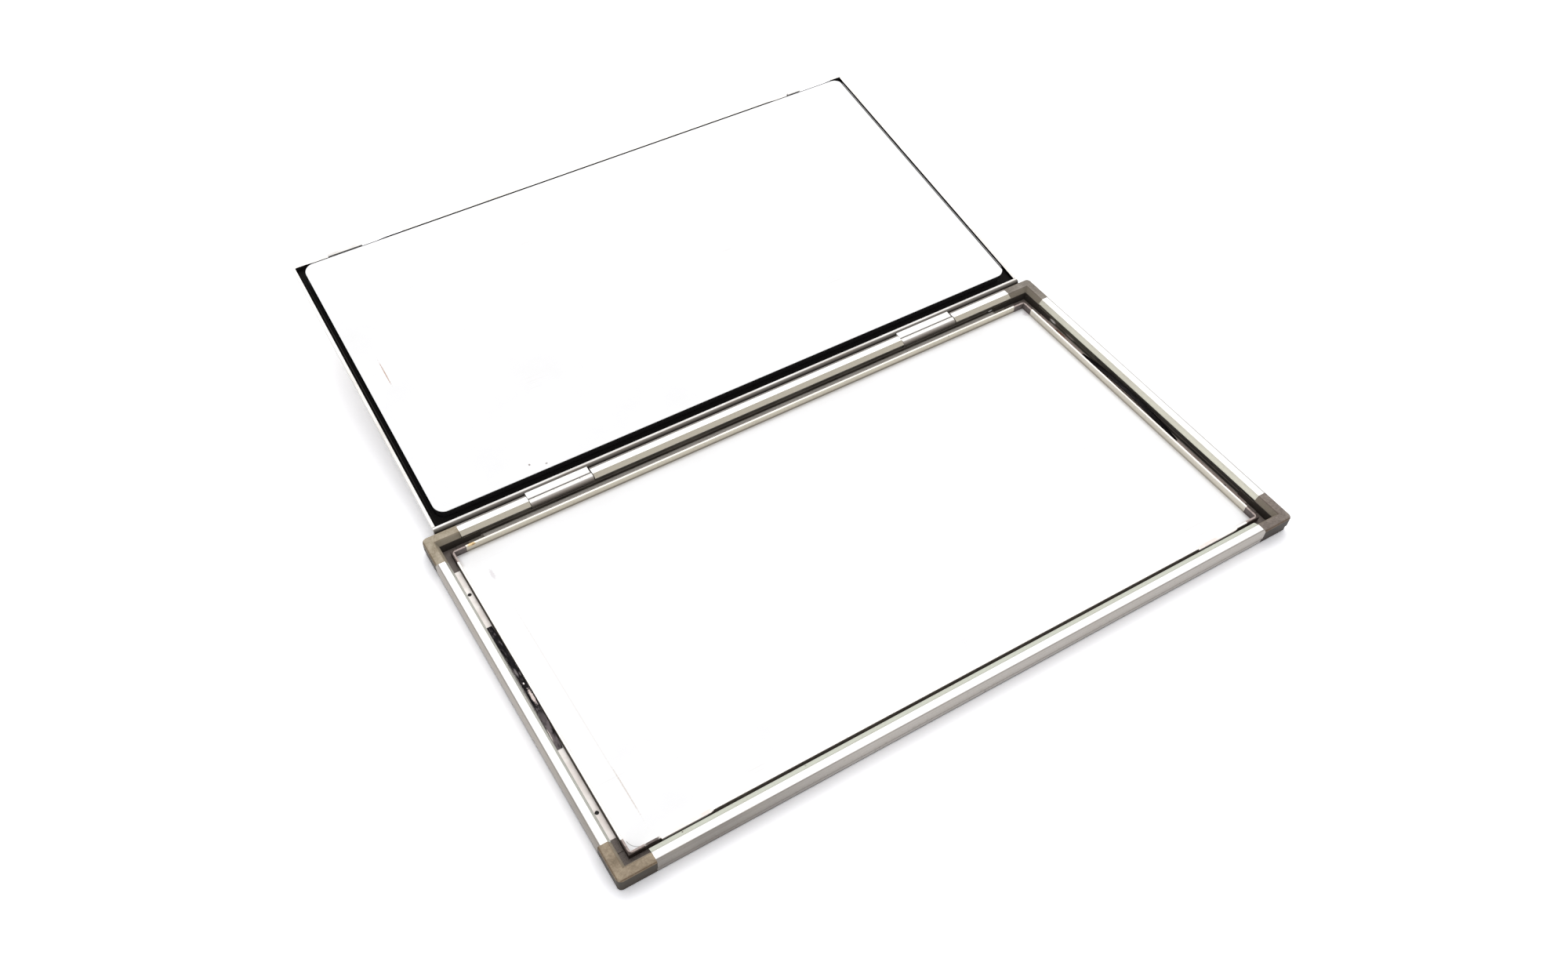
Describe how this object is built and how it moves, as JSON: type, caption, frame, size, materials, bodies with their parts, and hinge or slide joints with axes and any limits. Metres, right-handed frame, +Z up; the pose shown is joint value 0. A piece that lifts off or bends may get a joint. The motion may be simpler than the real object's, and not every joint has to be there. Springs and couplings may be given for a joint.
{
  "type": "x-ray film cassette",
  "caption": "Light-tight hinged cassette that presses a sheet of x-ray film between a frame screen and a sprung lid screen; shown open.",
  "frame": {"origin": "centre of the frame's underside, which rests on the table", "axes": "+X along the long rails, +Y from the latch side to the hinge side, +Z up out of the film well"},
  "size_m": [0.32, 0.3324, 0.0364],
  "materials": {
    "rail_aluminium": "satin",
    "corner_moulding": "matte",
    "front_panel": "satin",
    "screen": "satin",
    "seal": "matte",
    "spring_steel": "satin",
    "bright_steel": "satin",
    "pin_steel": "satin",
    "hinge_aluminium": "satin",
    "lid_aluminium": "satin",
    "border": "matte",
    "pad_foam": "matte",
    "latch_steel": "satin",
    "knob": "matte"
  },
  "bodies": {
    "frame": {"catch_left": "bright_steel", "catch_right": "bright_steel", "channel_seal_hinge": "seal", "channel_seal_near": "seal", "corner_hinge_left": "corner_moulding", "corner_hinge_right": "corner_moulding", "corner_near_left": "corner_moulding", "corner_near_right": "corner_moulding", "front_panel": "front_panel", "front_screen": "screen", "hinge_pin_left": "pin_steel", "hinge_pin_right": "pin_steel", "leaf_spring_left": "spring_steel", "leaf_spring_right": "spring_steel", "rail_hinge": "rail_aluminium", "rail_left": "rail_aluminium", "rail_near": "rail_aluminium", "rail_right": "rail_aluminium", "spring_strip_left": "bright_steel", "spring_strip_right": "bright_steel"},
    "lid": {"hinge_knuckle_left": "hinge_aluminium", "hinge_knuckle_right": "hinge_aluminium", "hinge_leaf_left": "hinge_aluminium", "hinge_leaf_right": "hinge_aluminium", "latch_guides": "pin_steel", "lid_border": "border", "lid_hinge_rim": "lid_aluminium", "lid_pad": "pad_foam", "lid_panel": "lid_aluminium", "lid_screen": "screen"},
    "latch_left": {"latch_slide_left": "latch_steel", "latch_knob_left": "knob"},
    "latch_right": {"latch_slide_right": "latch_steel", "latch_knob_right": "knob"}
  },
  "joints": [
    {"name": "lid_hinge", "type": "hinge", "parent": "frame", "child": "lid", "pos_m": [0, 0.08365, 0.0062], "axis": [1, 0, 0], "range_deg": [0, 170.8], "deforming": ["leaf_spring_left", "leaf_spring_right"]},
    {"name": "latch_left_slide", "type": "slide", "parent": "lid", "child": "latch_left", "axis": [1, 0, 0], "range_m": [0, 0.0205]},
    {"name": "latch_right_slide", "type": "slide", "parent": "lid", "child": "latch_right", "axis": [1, 0, 0], "range_m": [0, 0.0205]}
  ]
}
